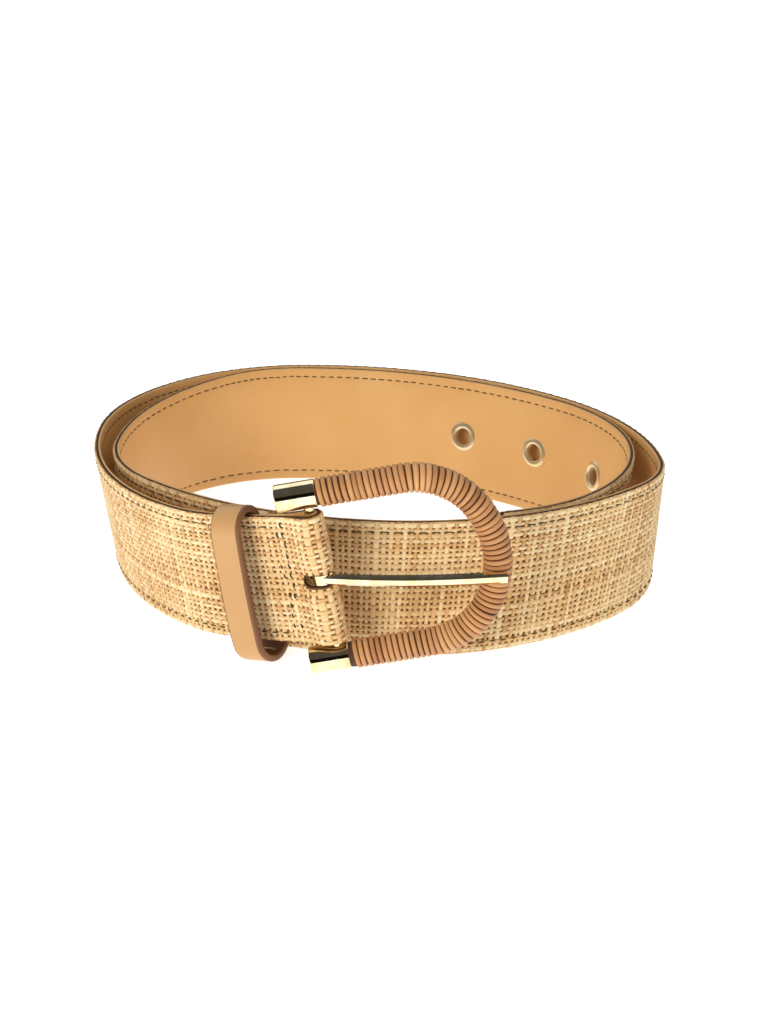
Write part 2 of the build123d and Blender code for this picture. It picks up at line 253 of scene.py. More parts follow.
def straw_material():
    mat, tree, shader = material("straw", (0.9, 0.75, 0.5), 0.55)
    tone = node(tree, "ShaderNodeAttribute", attribute_name="tone").outputs["Fac"]
    fibre = noise(tree, coordinates(tree, "UV", (0.35, 7.0, 1.0)), 1.0, 5.0, 0.65)
    blotch = noise(tree, coordinates(tree, "Object", (1, 1, 1)), 60.0, 3.0)
    mixed = combine(tree, "ADD", tone, combine(tree, "MULTIPLY", combine(tree, "SUBTRACT", fibre, 0.5), 0.55))
    blotches = combine(tree, "MULTIPLY", combine(tree, "SUBTRACT", blotch, 0.5), 0.5)
    mixed = combine(tree, "ADD", mixed, blotches)
    # The low stops also carry the painted shade along the strands' edges.
    stops = [(0.0, (0.28, 0.11, 0.032)), (0.3, (0.62, 0.335, 0.12)), (0.62, (0.80, 0.53, 0.235))]
    color = ramp(tree, mixed, stops + [(1.0, (0.93, 0.745, 0.43))])
    tree.links.new(color, shader.inputs["Base Color"])
    shader.inputs["Sheen Weight"].default_value = 0.15
    shader.inputs["Specular IOR Level"].default_value = 0.35
    bump(tree, shader, fibre, 0.5, 0.00012)
    return mat


def leather_material(name, low, high, rough, grain, depth):
    mat, tree, shader = material(name, high, rough)
    vector = coordinates(tree, "Object", (1, 1, 1))
    cloud = noise(tree, vector, 35.0, 3.0)
    fine = noise(tree, vector, grain, 6.0, 0.6)
    mixed = combine(tree, "ADD", combine(tree, "MULTIPLY", cloud, 0.7), combine(tree, "MULTIPLY", fine, 0.3))
    tree.links.new(ramp(tree, mixed, [(0.3, low), (0.7, high)]), shader.inputs["Base Color"])
    shader.inputs["Specular IOR Level"].default_value = 0.4
    pores = node(tree, "ShaderNodeTexVoronoi", Scale=grain * 1.2)
    tree.links.new(vector, pores.inputs["Vector"])
    height = combine(tree, "ADD", fine, combine(tree, "MULTIPLY", pores.outputs["Distance"], 0.6))
    bump(tree, shader, height, 0.35, depth)
    return mat


def wrap_material():
    mat, tree, shader = material("wrap", (0.8, 0.5, 0.26), 0.5)
    tone = node(tree, "ShaderNodeAttribute", attribute_name="tone").outputs["Fac"]
    fibre = noise(tree, coordinates(tree, "UV", (0.3, 5.0, 1.0)), 1.0, 4.0, 0.6)
    mixed = combine(tree, "ADD", tone, combine(tree, "MULTIPLY", combine(tree, "SUBTRACT", fibre, 0.5), 0.5))
    # The darkest stop is reached by the painted shade at the edges of the turns.
    stops = [(0.0, (0.07, 0.022, 0.008)), (0.35, (0.45, 0.19, 0.066)), (1.0, (0.73, 0.395, 0.165))]
    color = ramp(tree, mixed, stops)
    tree.links.new(color, shader.inputs["Base Color"])
    shader.inputs["Specular IOR Level"].default_value = 0.4
    bump(tree, shader, fibre, 0.3, 0.0001)
    return mat


def gold_material(name, base_rough, metallic=1.0):
    mat, tree, shader = material(name, (0.93, 0.80, 0.50), base_rough, metallic)
    vector = coordinates(tree, "Object", (1, 1, 1))
    wear = noise(tree, vector, 220.0, 5.0, 0.6)
    color = ramp(tree, wear, [(0.35, (0.86, 0.70, 0.38)), (0.65, (0.97, 0.88, 0.62))])
    tree.links.new(color, shader.inputs["Base Color"])
    rough = combine(tree, "ADD", combine(tree, "MULTIPLY", wear, 0.08), base_rough)
    tree.links.new(rough, shader.inputs["Roughness"])
    bump(tree, shader, noise(tree, vector, 900.0, 3.0), 0.04, 0.00005)
    return mat


def thread_material():
    mat, tree, shader = material("thread", (0.12, 0.08, 0.03), 0.7)
    twist = node(tree, "ShaderNodeTexWave", Scale=0.9, Distortion=1.5)
    twist.bands_direction = "DIAGONAL"
    tree.links.new(coordinates(tree, "UV", (1.0, 1.0, 1.0)), twist.inputs["Vector"])
    tree.links.new(
        ramp(tree, twist.outputs["Fac"], [(0.0, (0.07, 0.045, 0.015)), (1.0, (0.19, 0.13, 0.05))]),
        shader.inputs["Base Color"],
    )
    bump(tree, shader, twist.outputs["Fac"], 0.4, 0.00008)
    return mat


MATERIALS = {
    "straw": straw_material(),
    "lining": leather_material("lining", (0.74, 0.405, 0.14), (0.80, 0.47, 0.185), 0.42, 900.0, 0.00006),
    # Dark core colour; also the painted shade tube under the wound turns.
    "core": leather_material("core", (0.045, 0.022, 0.010), (0.10, 0.05, 0.022), 0.75, 1500.0, 0.0001),
    "wrap": wrap_material(),
    "keeper": leather_material("keeper", (0.55, 0.30, 0.115), (0.60, 0.34, 0.135), 0.4, 1400.0, 0.00003),
    "keeper_edge": leather_material(
        "keeper_edge", (0.17, 0.07, 0.028), (0.26, 0.12, 0.05), 0.5, 1800.0, 0.00006
    ),
    "gold": gold_material("gold", 0.05),
    "gold_satin": gold_material("gold_satin", 0.32, 0.75),
    "thread": thread_material(),
}


# ---------------------------------------------------------------- mesh building
def grid_faces(rows_count, columns, start=0, wrap_rows=False, wrap_columns=False):
    i = np.arange(rows_count if wrap_rows else rows_count - 1)
    j = np.arange(columns if wrap_columns else columns - 1)
    i, j = np.meshgrid(i, j, indexing="ij")
    i2, j2 = (i + 1) % rows_count, (j + 1) % columns
    quads = np.stack([i * columns + j, i2 * columns + j, i2 * columns + j2, i * columns + j2], -1)
    return quads.reshape(-1, 4) + start


class Pile:
    """Collects grids of points into one mesh, with their uv, tone and material."""

    def __init__(self):
        self.points, self.faces, self.uvs, self.tones, self.kinds, self.count = [], [], [], [], [], 0

    def grid(self, points, uv=None, tone=0.5, kind=0, keep=None, flip=False, **closed):
        r, c = points.shape[:2]
        faces = grid_faces(r, c, self.count, **closed)
        if keep is not None:
            faces = faces[keep.ravel()]
        if flip:
            faces = faces[:, ::-1]
        self.points.append(points.reshape(-1, 3))
        self.faces.append(faces)
        self.uvs.append(np.zeros((r * c, 2)) if uv is None else np.broadcast_to(uv, (r, c, 2)).reshape(-1, 2))
        self.tones.append(np.broadcast_to(np.asarray(tone, float), (r, c)).ravel())
        self.kinds.append(np.full(len(faces), kind))
        self.count += r * c

    def build(self, name, slot, body, materials):
        points, faces = np.concatenate(self.points), np.concatenate(self.faces)
        mesh = bpy.data.meshes.new(name)
        mesh.vertices.add(len(points))
        mesh.vertices.foreach_set("co", points.astype(np.float32).ravel())
        mesh.loops.add(faces.size)
        mesh.loops.foreach_set("vertex_index", faces.astype(np.int32).ravel())
        mesh.polygons.add(len(faces))
        mesh.polygons.foreach_set("loop_start", (np.arange(len(faces)) * 4).astype(np.int32))
        mesh.update(calc_edges=True)
        layer = mesh.uv_layers.new(name="run")
        layer.data.foreach_set("uv", np.concatenate(self.uvs)[faces.ravel()].astype(np.float32).ravel())
        tone = mesh.attributes.new("tone", "FLOAT", "POINT")
        tone.data.foreach_set("value", np.concatenate(self.tones).astype(np.float32))
        mesh.polygons.foreach_set("material_index", np.concatenate(self.kinds).astype(np.int32))
        mesh.polygons.foreach_set("use_smooth", np.full(len(faces), True))
        for m in materials:
            mesh.materials.append(MATERIALS[m])
        mesh.validate()
        return place(bpy.data.objects.new(name, mesh), slot, body)


def place(obj, slot, body):
    bpy.context.scene.collection.objects.link(obj)
    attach(obj, body)
    return obj


def wander(count, smoothness, size):
    """Smooth random wander along a run of that many samples."""
    raw = rng.normal(size=count + 4 * smoothness)
    kernel = np.hanning(2 * smoothness + 1)
    out = np.convolve(raw, kernel / np.sqrt((kernel**2).sum()), mode="same")
    return out[2 * smoothness: 2 * smoothness + count] * size


# ---------------------------------------------------------------- places on the strap
FIRST_EYELET, EYELET_PITCH, EYELETS = 775.0, 34.5, 5
EYELET_S = [COIL_AT + FIRST_EYELET + EYELET_PITCH * i for i in range(EYELETS)]
HOLE_R, STRAW_HOLE_R = 3.75, 3.6
SLOT_REACH, SLOT_HALF = 5.15, 2.2
SEAM_INSET = 3.3
LINING_LOW, LINING_HIGH = -1.3, -0.5


def in_holes(s, v, grow=0.0):
    """Whether a place on the strap falls in the prong's slot or in an eyelet's hole."""
    far = 9.0
    reach = np.where(s < 0, np.minimum(s - (S_START + TAIL - SLOT_REACH), far), SLOT_REACH - s)
    rounding = np.clip(reach, -far, SLOT_HALF)
    half = np.where(reach > 0, np.sqrt(np.maximum(SLOT_HALF**2 - (SLOT_HALF - rounding) ** 2, 0)), -far)
    hit = np.abs(v - HALF) < half + grow
    for place_s in EYELET_S:
        hit |= np.hypot(s - place_s, v - HALF) < STRAW_HOLE_R + grow
    return hit


# ---------------------------------------------------------------- woven face
WARP_PITCH, WEFT_PITCH = 1.9, 2.1
FACE_MID, WAVE, CROWN = 0.80, 0.21, 0.24
ACROSS = np.array([-0.5, -0.27, 0.27, 0.5])
CROWN_AT = np.array([-0.7, 1.0, 1.0, -0.7]) * CROWN
# Painted shade: the tone drops along both edges of every strand, for the shade between neighbouring strands.
STRAND_EDGE_SHADE = np.array([-0.75, 0.03, 0.03, -0.75])
WARP_CLEAR, WEFT_CLEAR = 0.6, 0.35
EDGE_STRAW_R, EDGE_STRAW_IN, EDGE_STRAW_RISE, EDGE_STRAW_STEP = 0.27, 0.32, 0.66, 1.1
FOLD_SWELL, FOLD_PINCH = 2.2, 0.3


def face_relief(s, v):
    """Two cushions over the bar, above and below the slot, and the pinch at the fold's seam."""
    cushion = FOLD_SWELL * np.exp(-(((s - 0.6) / 4.6) ** 2)) * (1 - 0.97 * np.exp(-(((v - HALF) / 5.0) ** 2)))
    round_edge = 1 - 0.35 * np.exp(-((np.minimum(v, WIDTH - v) / 2.5) ** 2))
    return cushion * round_edge - FOLD_PINCH * np.exp(-(((s - 10.6) / 2.0) ** 2))


def strand_cells(length, pitch, spread):
    """Edges of side-by-side strands of uneven width over that length."""
    count = round(length / pitch)
    widths = np.exp(rng.normal(0, spread, count))
    return np.concatenate([[0], np.cumsum(widths / widths.sum() * length)])


def half_steps(edges, end):
    """Three places over each strand between those edges, and the end of the last one."""
    steps = [np.linspace(a, b, 3, endpoint=False) for a, b in zip(edges[:-1], edges[1:])]
    return np.concatenate(steps + [[end]])


def weave():
    """The face, strand by strand: warps along the strap, wefts across it, and a straw along each edge."""
    v_edges = strand_cells(WIDTH, WARP_PITCH, 0.16)
    s_edges = strand_cells(S_END - S_START, WEFT_PITCH, 0.16) + S_START
    v_mid, s_mid = (v_edges[1:] + v_edges[:-1]) / 2, (s_edges[1:] + s_edges[:-1]) / 2
    v_wide, s_wide = np.diff(v_edges), np.diff(s_edges)
    piles = [Pile() for _ in range(6)]
    cuts = np.linspace(S_START, S_END, len(piles) + 1)
    # warps run along the strap
    fine_s = half_steps(s_edges, S_END)
    phase_s = np.interp(fine_s, s_mid, np.arange(len(s_mid)))
    for i, (v0, wide) in enumerate(zip(v_mid, v_wide)):
        limit = tip_limit(v0)
        lift = np.cos(np.pi * (phase_s + i)) * WAVE
        drift = wander(len(fine_s), 40, 0.09)
        width = wide * (0.83 + rng.uniform(-0.12, 0.06) + wander(len(fine_s), 12, 0.05))
        tone = 0.68 + rng.normal(0, 0.13) + wander(len(fine_s), 60, 0.11) + wander(len(fine_s), 5, 0.03)
        s = np.minimum(fine_s, limit)
        v = v0 + drift[:, None] + ACROSS * width[:, None]
        n = FACE_MID + lift[:, None] + CROWN_AT
        s2 = np.repeat(s[:, None], 4, 1)
        n = n + face_relief(s2, v)
        uv = np.stack([s2, v + i * 9.7], -1)
        points = strap(s2, np.clip(v, 0, WIDTH), n)
        mid_s = (s[1:] + s[:-1]) / 2
        keep = ~in_holes(mid_s, np.full_like(mid_s, v0), WARP_CLEAR) & (np.diff(s) > 1e-6)
        keep = np.repeat(keep[:, None], 3, 1)
        for pile, a, b in zip(piles, cuts[:-1], cuts[1:]):
            inside = np.where((fine_s[:-1] >= a - 1e-9) & (fine_s[:-1] < b))[0]
            k0, k1 = inside[0], inside[-1] + 2
            # Strand tone, with painted shade along its edges.
            pile.grid(points[k0:k1], uv[k0:k1], tone[k0:k1, None] + STRAND_EDGE_SHADE, keep=keep[k0:k1 - 1])
    # wefts run across it
    fine_v = half_steps(v_edges, WIDTH)
    phase_v = np.interp(fine_v, v_mid, np.arange(len(v_mid)))
    for j, (s0, wide) in enumerate(zip(s_mid, s_wide)):
        lift = -np.cos(np.pi * (phase_v + j)) * WAVE
        drift = wander(len(fine_v), 14, 0.07)
        width = wide * (0.82 + rng.uniform(-0.12, 0.07) + wander(len(fine_v), 6, 0.05))
        tone = 0.66 + rng.normal(0, 0.12) + wander(len(fine_v), 20, 0.09)
        reach = TIP_R**2 - (TIP_R - (S_END - s0)) ** 2 if s0 > S_END - TIP_DEPTH else HALF**2
        half = math.sqrt(max(reach, 0.01))
        v = np.clip(fine_v, HALF - half, HALF + half)
        edge = np.exp(-(np.minimum(v, WIDTH - v) / 0.5) ** 2) * 0.28
        s = s0 + drift[:, None] + ACROSS * width[:, None]
        n = FACE_MID + lift[:, None] - edge[:, None] + CROWN_AT
        v2 = np.repeat(v[:, None], 4, 1)
        n = n + face_relief(s, v2)
        uv = np.stack([v2 + j * 3.1, s], -1)
        points = strap(np.clip(s, S_START, S_END), v2, n)
        mid_v = (v[1:] + v[:-1]) / 2
        keep = ~in_holes(np.full_like(mid_v, s0), mid_v, WEFT_CLEAR) & (np.diff(v) > 1e-6)
        pile = piles[int(np.clip(np.searchsorted(cuts, s0) - 1, 0, len(piles) - 1))]
        # Strand tone, with painted shade along its edges.
        pile.grid(points, uv, tone[:, None] + STRAND_EDGE_SHADE, keep=np.repeat(keep[:, None], 3, 1), flip=True)
    # a straw lies along each edge, over the wefts' ends
    a = np.linspace(0, 2 * math.pi, 7)[:-1]
    for v0 in (EDGE_STRAW_IN, WIDTH - EDGE_STRAW_IN):
        s = np.arange(S_START, tip_limit(v0), EDGE_STRAW_STEP)
        radius = EDGE_STRAW_R + wander(len(s), 3, 0.03)[:, None]
        v = v0 + wander(len(s), 4, 0.05)[:, None] + radius * np.cos(a)
        s2 = np.repeat(s[:, None], 6, 1)
        n = EDGE_STRAW_RISE + radius * 1.2 * np.sin(a) + face_relief(s2, v)
        tone = 0.45 + wander(len(s), 4, 0.12)[:, None]
        for pile, a0, b0 in zip(piles, cuts[:-1], cuts[1:]):
            k = np.where((s >= a0) & (s < b0 + EDGE_STRAW_STEP))[0]
            uv = np.stack([s2, v + 2 * n], -1)[k]
            pile.grid(strap(s2, v, n)[k], uv, tone[k], wrap_columns=True, flip=True)
    return [pile.build(f"woven_straw_{i + 1}", "straw", "strap", ["straw"]) for i, pile in enumerate(piles)]


# ---------------------------------------------------------------- layers
def layer(name, slot, low, high, step, relief, materials, span=None):
    """A closed layer between two rises, with relief on its inner side, holes and a rounded tip."""
    first, last = span or (S_START, S_END)
    s = np.append(np.arange(first, last, step), last)
    half_rows = np.array([0, 0.18, 0.6, 1.4, 2.3, 2.8, 3.3, 3.8, 4.4, 6, 9, 12, 15, 18, 21])
    v = np.concatenate([half_rows, [HALF], (WIDTH - half_rows)[::-1]])
    s2, v2 = np.meshgrid(s, v, indexing="ij")
    limit = tip_limit(v2)
    near_tip = S_END - 40
    drawn_in = near_tip + (s2 - near_tip) * (limit - near_tip) / (S_END - near_tip)
    s2 = np.where(s2 > near_tip, drawn_in, s2)
    rim = np.exp(-(np.minimum(v2, WIDTH - v2) / 0.25) ** 2) * 0.14
    inner = strap(s2, v2, low + relief(s2, v2) + rim)
    outer = strap(s2, v2, high(s2, v2) if callable(high) else np.full_like(s2, high))
    ring = np.concatenate([inner, outer[:, ::-1]], 1)
    uv = np.concatenate([np.stack([s2, v2], -1), np.stack([s2, v2], -1)[:, ::-1]], 1)
    pile = Pile()
    pile.grid(ring, uv, wrap_columns=True)
    for k, flip in ((0, True), (-1, False)):
        pile.grid(np.stack([inner[k], outer[k]]), np.stack([uv[k, :len(v)], uv[k, :len(v)]]), flip=flip)
    obj = pile.build(name, slot, "strap", materials)
    weld(obj)
    cut_holes(obj)
    return obj


def weld(obj):
    modifier = obj.modifiers.new("weld", "WELD")
    modifier.merge_threshold = 1e-6
    apply_modifiers(obj)


def apply_modifiers(obj):
    mesh = bpy.data.meshes.new_from_object(obj.evaluated_get(bpy.context.evaluated_depsgraph_get()))
    obj.modifiers.clear()
    obj.data = mesh


def cutter():
    """The prong's slot and the eyelets' holes, as closed bodies."""
    pile = Pile()
    through = 2.2
    a = np.linspace(0, 2 * math.pi, 33)[:-1]
    for s0 in EYELET_S:
        origin, along, up, out = station(s0)
        circle = HOLE_R * (np.cos(a)[:, None] * along + np.sin(a)[:, None] * up)
        ends = [origin + circle + out * h for h in (-through, through)]
        cap = [np.repeat(origin[None] + out * h, len(a), 0) for h in (-through, through)]
        pile.grid(np.stack([cap[0], ends[0], ends[1], cap[1]]) * MM, wrap_columns=True)
    half_turn = np.linspace(-math.pi / 2, math.pi / 2, 13)
    outline = [(FOLD_R * 2 + SLOT_REACH, -SLOT_HALF), (FOLD_R * 2 + SLOT_REACH, SLOT_HALF)]
    slot_end = -SLOT_REACH + SLOT_HALF
    outline += [(slot_end - SLOT_HALF * math.cos(t), SLOT_HALF * math.sin(-t)) for t in half_turn]
    outline = np.array(outline)
    flat = bar_origin + outline[:, :1] * bar_axes[0] + outline[:, 1:] * bar_axes[2]
    centre = flat.mean(0)
    levels = []
    for y, shrink in ((-8, 0), (-8, 1), (8, 1), (8, 0)):
        levels.append(centre + (flat - centre) * shrink + y * bar_axes[1])
    pile.grid(np.stack(levels) * MM, wrap_columns=True)
    return pile


def station(s0):
    """Centre of the strap at that distance, with its directions along, up and out, in millimetres."""
    a, b = (strap(s0 + d, HALF, 0) / MM for d in (-0.5, 0.5))
    low, high = strap(s0, 0, 0) / MM, strap(s0, WIDTH, 0) / MM
    along, up = unit(b - a), unit(high - low)
    return (low + high) / 2, along, up, np.cross(up, along)


def cut_holes(obj):
    """Cuts the prong's slot and the eyelets' holes out of a layer."""
    pile = cutter()
    points, faces = np.concatenate(pile.points), np.concatenate(pile.faces)
    mesh = bpy.data.meshes.new("cutter")
    mesh.from_pydata(points.tolist(), [], faces.tolist())
    tool = bpy.data.objects.new("cutter", mesh)
    bpy.context.scene.collection.objects.link(tool)
    weld(tool)
    bm = bmesh.new()
    bm.from_mesh(tool.data)
    bmesh.ops.recalc_face_normals(bm, faces=bm.faces)
    bm.to_mesh(tool.data)
    bm.free()
    modifier = obj.modifiers.new("holes", "BOOLEAN")
    modifier.object = tool
    modifier.operation = "DIFFERENCE"
    modifier.solver = "EXACT"
    apply_modifiers(obj)
    bpy.data.objects.remove(tool)


def soft_relief(s, v):
    """Gentle unevenness of the lining, pulled in along its two seams."""
    swell = 0.05 * np.sin(s / 9.3 + 1.7 * np.sin(v / 14)) + 0.04 * np.sin(s / 4.1 + v / 7) * np.sin(v / 5.5)
    seam = np.exp(-((np.minimum(v, WIDTH - v) - SEAM_INSET) / 0.45) ** 2)
    pucker = 1 + 0.5 * np.sin(2 * math.pi * s / 3.9)
    return swell * 0.8 + 0.16 * seam * pucker


# One stitch: places along it, and how full it is there
STITCH_T = np.linspace(-0.5, 0.5, 7)
STITCH_BODY = np.sqrt(np.maximum(1 - (2 * STITCH_T) ** 4, 0.0)) * 0.9 + 0.1
STITCH_ROUND = np.linspace(0, 2 * math.pi, 7)[:-1]
SEAM_START, SEAM_STOP = 16.0, 3.0


def stitches(name, rise, pitch, length, radius, sink):
    """The two edge seams, as single stitches that dip at both ends."""
    pile = Pile()
    for v0 in (SEAM_INSET, WIDTH - SEAM_INSET):
        s0 = SEAM_START
        while s0 < tip_limit(v0) - SEAM_STOP:
            s = s0 + length * (1 + rng.normal(0, 0.06)) * STITCH_T
            v = v0 + rng.normal(0, 0.05)
            n = rise + np.sign(rise) * (sink * (STITCH_BODY - 1))
            uv = np.stack(np.meshgrid(s, STITCH_ROUND, indexing="ij"), -1)
            pile.grid(ring_points(strap(s, v, n), radius * STITCH_BODY, STITCH_ROUND), uv, wrap_columns=True)
            s0 += pitch * (1 + rng.normal(0, 0.03))
    return pile.build(name, "thread", "strap", ["thread"])


def ring_points(path, radius, a):
    """A tube of changing radius along a path of points, in metres and millimetres."""
    along = np.gradient(path, axis=0)
    along /= np.linalg.norm(along, axis=1)[:, None] + 1e-12
    side = np.cross(along, (0.13, -0.22, 0.97))
    side /= np.linalg.norm(side, axis=1)[:, None]
    other = np.cross(along, side)
    ring = np.cos(a)[None, :, None] * side[:, None] + np.sin(a)[None, :, None] * other[:, None]
    return path[:, None] + ring * (np.asarray(radius) * MM)[:, None, None]


PADDING_LOW, PADDING_HIGH, PADDING_SPAN = 0.36, 0.5, (-9.0, 9.0)


def padding_rise(s, v):
    """The wadding in the fold follows the swelling of the face."""
    return PADDING_HIGH + np.maximum(face_relief(s, v), 0)


def no_relief(s, v):
    """The wadding's inner side is plain."""
    return 0.0 * s


# ---------------------------------------------------------------- build the strap
weaves = weave()
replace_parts(weaves[0], "strap_face")
lining = layer("lining_cloth", "lining", LINING_LOW, LINING_HIGH, 1.3, soft_relief, ["lining"])
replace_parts(lining, "strap_lining")
layer("fold_padding", "core", PADDING_LOW, padding_rise, 0.8, no_relief, ["keeper_edge"], PADDING_SPAN)
face_seams = stitches("seam_face", rise=1.18, pitch=4.0, length=2.7, radius=0.3, sink=0.5)
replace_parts(face_seams, "thread_face_lower", "thread_face_upper")
lining_seams = stitches("seam_lining", rise=-1.2, pitch=3.6, length=2.8, radius=0.27, sink=0.35)
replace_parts(lining_seams, "thread_lining_lower", "thread_lining_upper")


# ---------------------------------------------------------------- buckle frame
SWING = math.radians(26.0)
buckle_x = math.cos(SWING) * bar_axes[0] + math.sin(SWING) * bar_axes[1]
buckle_out = np.cross(buckle_x, bar_axes[2])
buckle_axes = rows(buckle_x, bar_axes[2], buckle_out)
ARM, HALF_ARM, CORNER_R, CORNER = 30.6, 29.0, 25.0, math.radians(55.0)
END_R = (HALF_ARM - CORNER_R * (1 - math.cos(CORNER))) / math.cos(CORNER)
CAP_LENGTH, CAP_OVERHANG = 13.3, 9.8
WRAP_START = CAP_LENGTH - CAP_OVERHANG
GAP_SHADE_TUBE_R, WRAP_R, WRAP_CROWN = 4.15, 4.78, 0.62


def d_run():
    """Centre line of the D from the upper arm to the lower, as places and directions in its plane."""
    steps = [(ARM - WRAP_START, 0), (CORNER_R, CORNER), (END_R, math.pi - 2 * CORNER), (CORNER_R, CORNER)]
    p, h, out = np.array([WRAP_START, HALF_ARM]), 0.0, []
    for size, angle in steps + [(ARM - WRAP_START, 0)]:
        for t in np.linspace(0, 1, 33)[:-1]:
            if angle:
                a = h - angle * t
                centre = p + size * np.array([math.sin(h), -math.cos(h)])
                out.append((centre + size * np.array([-math.sin(a), math.cos(a)]), a))
            else:
                out.append((p + size * t * np.array([math.cos(h), math.sin(h)]), h))
        if angle:
            centre = p + size * np.array([math.sin(h), -math.cos(h)])
            h -= angle
            p = centre + size * np.array([-math.sin(h), math.cos(h)])
        else:
            p = p + size * np.array([math.cos(h), math.sin(h)])
    out.append((p, h))
    return out


def buckle_point(along, up, out):
    """Points in the buckle's own directions, from the middle of its bar, in metres."""
    away = sum(size[..., None] * way for size, way in zip((along, up, out), buckle_axes))
    return (bar_origin + away) * MM


def wound_strip(turns):
    """The narrow strip wound side by side round the D's rod, as one helix of flat turns."""
    run = d_run()
    flat = np.array([p for p, _ in run])
    heads = np.array([h for _, h in run])
    dist = np.concatenate([[0], np.cumsum(np.linalg.norm(np.diff(flat, axis=0), axis=1))])
    total, around = dist[-1], 26
    pitch = total / turns
    k = np.arange(turns * around + 1)
    angle = 2 * math.pi * k / around
    per_turn = rng.normal(0, 1, (3, turns + 2))
    turn = k / around
    mixed = [np.interp(turn, np.arange(turns + 2), row) for row in per_turn]
    centre = pitch / 2 + (total - pitch) * k / k[-1] + 0.10 * mixed[0]
    across = np.array([-0.5, -0.38, 0.0, 0.38, 0.5])
    shape = np.array([-1.1, -0.12, 0.12, -0.12, -1.1])
    width = pitch * (0.9 + 0.03 * mixed[1])
    place_l = np.clip(centre[:, None] + across * width[:, None], 0, total)
    x, y, h = (np.interp(place_l, dist, column) for column in (flat[:, 0], flat[:, 1], heads))
    radius = WRAP_R + shape * WRAP_CROWN + 0.05 * mixed[2][:, None]
    rise = radius * np.cos(angle)[:, None]
    out = radius * np.sin(angle)[:, None]
    px, py = x - np.sin(h) * rise, y + np.cos(h) * rise
    # Painted shade: the tone drops at both edges of each turn, for the dark gaps between turns.
    tone = (0.62 + 0.13 * mixed[2] + 0.05 * mixed[0])[:, None] - np.array([0.75, 0.1, 0, 0.1, 0.75])
    uv = np.stack(np.broadcast_arrays(angle[:, None] * 4.8, place_l), -1)
    pile = Pile()
    pile.grid(buckle_point(px, py, out), uv, tone)
    # Painted shade: a dark tube in the core material lies under the turns and shows through the gaps between
    # them as their shade.
    a = np.linspace(0, 2 * math.pi, 25)[:-1]
    side = flat[:, :1] - GAP_SHADE_TUBE_R * np.sin(heads)[:, None] * np.cos(a)
    rise = flat[:, 1:] + GAP_SHADE_TUBE_R * np.cos(heads)[:, None] * np.cos(a)
    pile.grid(buckle_point(side, rise, GAP_SHADE_TUBE_R * np.sin(a)[None, :]), kind=1, wrap_columns=True)
    return pile.build("wound_leather", "wrap", "buckle", ["wrap", "core"])


wound = wound_strip(73)
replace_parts(wound, "frame_wrap")


# ---------------------------------------------------------------- keeper
KEEPER_S, KEEPER_OUT, KEEPER_DOWN, KEEPER_BAND = 26.0, 2.0, 2.1, 10.6
KEEPER_HEIGHT, KEEPER_DEPTH, KEEPER_WALL, KEEPER_THICK = 56.0, 13.6, 1.6, 2.3
KEEPER_SAG, KEEPER_BOW, KEEPER_DROP = 6.0, 1.1, 9.6
keeper_turn = askew * (1 - (KEEPER_S - SEAM_STRETCH) / ASKEW_LENGTH)
keeper_heading = math.cos(keeper_turn) * end_axes[0] + math.sin(keeper_turn) * end_axes[1]
keeper_centre = end_origin + ASKEW_R * math.sin(keeper_turn) * end_axes[0] + KEEPER_OUT * end_axes[2]
keeper_centre = keeper_centre + (ASKEW_R * (1 - math.cos(keeper_turn)) - KEEPER_DOWN) * end_axes[1]
keeper_down = np.cross(keeper_heading, end_axes[2])


def keeper_path():
    """Places (out, down) and outward directions round the loop: narrow at the top, wide at the bottom."""
    radius = KEEPER_DEPTH / 2 - KEEPER_WALL + KEEPER_THICK / 2
    reach = KEEPER_HEIGHT / 2 - KEEPER_WALL + KEEPER_THICK / 2
    drop = KEEPER_DROP
    top, bottom = radius - reach, KEEPER_HEIGHT / 2 - KEEPER_THICK / 2 - drop
    down = np.linspace(top, bottom, 22)[:-1]
    turn = np.linspace(0, math.pi, 25)[:-1]
    front, up = np.full(len(down), radius), down[::-1] + down[1] - down[0]
    x = np.concatenate([front, radius * np.cos(turn), -front, -radius * np.cos(turn)])
    y = np.concatenate([down, bottom + drop * np.sin(turn), up, top - radius * np.sin(turn)])
    back = np.clip(0.5 - x / (2 * radius), 0, 1)
    bow = np.cos(np.clip((y - 4) / 27, -1, 1) * math.pi / 2)
    x = x - KEEPER_SAG * np.clip((y + 6) / 26, 0, 1) ** 1.5 * back + KEEPER_BOW * bow * (1 - back)
    ahead = np.stack([np.roll(x, -1) - np.roll(x, 1), np.roll(y, -1) - np.roll(y, 1)], -1)
    ahead /= np.linalg.norm(ahead, axis=1)[:, None]
    return np.stack([x, y], -1), np.stack([ahead[:, 1], -ahead[:, 0]], -1)


def keeper_point(place_at):
    """Points on the loop's middle, from their places out and down, in millimetres."""
    return keeper_centre + place_at[..., :1] * end_axes[2] + place_at[..., 1:2] * keeper_down


def keeper():
    """The loop as a leather band with rounded, darker edges."""
    path, way = keeper_path()
    t, b, r = KEEPER_THICK / 2, KEEPER_BAND / 2, 0.5
    border, cut = 1.1, 0.14
    section = [(t, -b + border), (t, -b + r), (t - cut, -b + cut), (t - r, -b)]
    section += [(-t + r, -b), (-t + cut, -b + cut), (-t, -b + r), (-t, -b + border)]
    section = np.array(section + [(x, -z) for x, z in section[::-1]])
    place_at = path[:, None] + section[None, :, :1] * way[:, None]
    points = keeper_point(place_at) + section[None, :, 1:] * keeper_heading
    lengths = np.concatenate([[0], np.cumsum(np.linalg.norm(np.diff(path, axis=0), axis=1))])
    uv = np.stack(np.broadcast_arrays(lengths[:, None], section[None, :, 1] + section[None, :, 0] * 3), -1)
    pile = Pile()
    pile.grid(points * MM, uv, wrap_rows=True, wrap_columns=True)
    obj = pile.build("keeper_leather", "keeper", "keeper", ["keeper", "keeper_edge"])
    outside = {0, len(section) - 1}
    for face in obj.data.polygons:
        face.material_index = 0 if face.index % len(section) in outside else 1
    return obj


